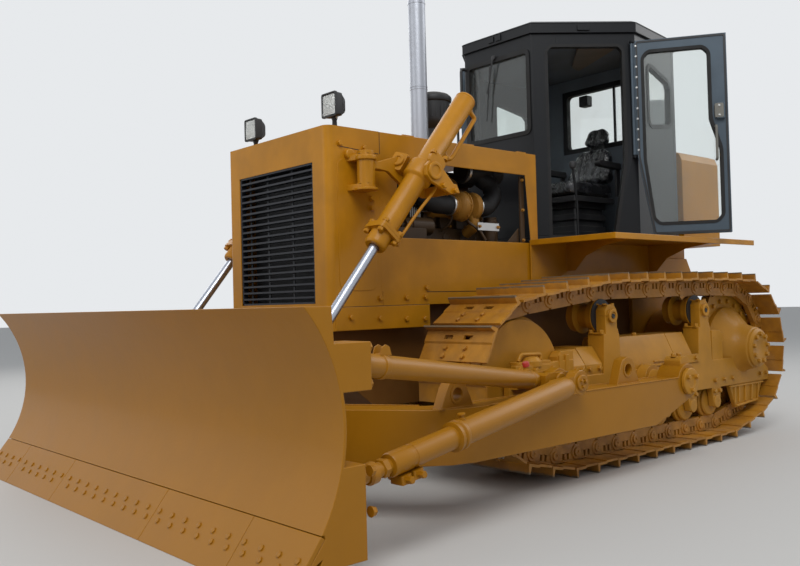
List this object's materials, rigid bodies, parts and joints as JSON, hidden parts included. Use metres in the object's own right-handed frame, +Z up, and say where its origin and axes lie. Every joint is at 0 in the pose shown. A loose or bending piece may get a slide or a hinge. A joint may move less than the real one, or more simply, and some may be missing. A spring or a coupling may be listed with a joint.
{
  "type": "crawler bulldozer",
  "caption": "Crawler bulldozer with a wide concave blade on a C-shaped push frame, lift cylinders, open engine bay and a cab with hinged doors.",
  "frame": {"origin": "on the ground, under the middle of the machine", "axes": "+X forwards, towards the blade; +Y to the machine's left; +Z up"},
  "size_m": [5.2768, 3.47, 3.2318],
  "materials": {
    "black_paint": "matte black paint",
    "cab_paint": "dark blue-grey paint",
    "door_paint": "grey paint",
    "engine_paint": "dull brown-yellow paint with black hoses",
    "exhaust_metal": "aluminium-painted pipe",
    "polished_rod": "polished chrome",
    "seat_cover": "black vinyl",
    "track_paint": "yellow paint worn to steel at the grouser tips",
    "window_glass": "clear",
    "yellow_paint": "semi-gloss ochre yellow paint"
  },
  "bodies": {
    "tractor": {"cab_base": "cab_paint", "cab_front": "cab_paint", "cab_glass": "window_glass", "cab_rear": "cab_paint", "cab_roof": "cab_paint", "cab_side_left": "cab_paint", "cab_side_right": "cab_paint", "console": "cab_paint", "cylinder_yokes": "yellow_paint", "drawbar": "yellow_paint", "engine": "engine_paint", "engine_air": "black_paint", "equalizer_bar": "yellow_paint", "exhaust_stack": "exhaust_metal", "fenders": "yellow_paint", "fuel_tank": "yellow_paint", "hood": "yellow_paint", "idlers": "yellow_paint", "main_frame": "yellow_paint", "precleaner": "black_paint", "radiator": "black_paint", "radiator_grille": "black_paint", "radiator_guard": "yellow_paint", "rear_case": "yellow_paint", "seat": "seat_cover", "side_panels": "yellow_paint", "sprockets": "yellow_paint", "track_frame_left": "yellow_paint", "track_frame_right": "yellow_paint", "track_left": "track_paint", "track_right": "track_paint", "track_rollers": "yellow_paint", "turbocharger": "engine_paint", "work_lamps": "black_paint"},
    "blade_frame": {"c_frame": "yellow_paint", "cutting_edge": "yellow_paint", "lower_braces": "yellow_paint", "moldboard": "yellow_paint", "upper_braces": "yellow_paint"},
    "cylinder_left": {"lift_barrel_left": "yellow_paint"},
    "piston_rod_left": {"lift_rod_left": "polished_rod"},
    "cab_door_left": {"door_glass_left": "window_glass", "door_left": "door_paint"},
    "cylinder_right": {"lift_barrel_right": "yellow_paint"},
    "piston_rod_right": {"lift_rod_right": "polished_rod"},
    "cab_door_right": {"door_glass_right": "window_glass", "door_right": "door_paint"}
  },
  "joints": [
    {"name": "blade_lift", "type": "hinge", "parent": "tractor", "child": "blade_frame", "pos_m": [-0.51835, 0, 0.5], "axis": [0, -1, 0], "range_deg": [-7, 18]},
    {"name": "cylinder_swing_left", "type": "hinge", "parent": "tractor", "child": "cylinder_left", "pos_m": [1.03165, 0.735, 1.74], "axis": [0, -1, 0], "range_deg": [-8.5, 21.7]},
    {"name": "rod_slide_left", "type": "slide", "parent": "cylinder_left", "child": "piston_rod_left", "axis": [0.6355, 0, -0.7721], "range_m": [-0.6115, 0.239]},
    {"name": "cylinder_swing_right", "type": "hinge", "parent": "tractor", "child": "cylinder_right", "pos_m": [1.03165, -0.735, 1.74], "axis": [0, -1, 0], "range_deg": [-8.5, 21.7]},
    {"name": "rod_slide_right", "type": "slide", "parent": "cylinder_right", "child": "piston_rod_right", "axis": [0.6355, 0, -0.7721], "range_m": [-0.6115, 0.239]},
    {"name": "door_hinge_left", "type": "hinge", "parent": "tractor", "child": "cab_door_left", "pos_m": [-1.00493, 0.79135, 2.15], "axis": [0, 0, 1], "range_deg": [-162.8, 3]},
    {"name": "door_hinge_right", "type": "hinge", "parent": "tractor", "child": "cab_door_right", "pos_m": [-1.00493, -0.79135, 2.15], "axis": [0, 0, -1], "range_deg": [0, 165.8]}
  ],
  "couplings": [
    {"joint": "cylinder_swing_left", "follows": "blade_lift", "ratio": 1.2},
    {"joint": "rod_slide_left", "follows": "blade_lift", "m_per_rad": -1.94},
    {"joint": "cylinder_swing_right", "follows": "blade_lift", "ratio": 1.2},
    {"joint": "rod_slide_right", "follows": "blade_lift", "m_per_rad": -1.94}
  ]
}
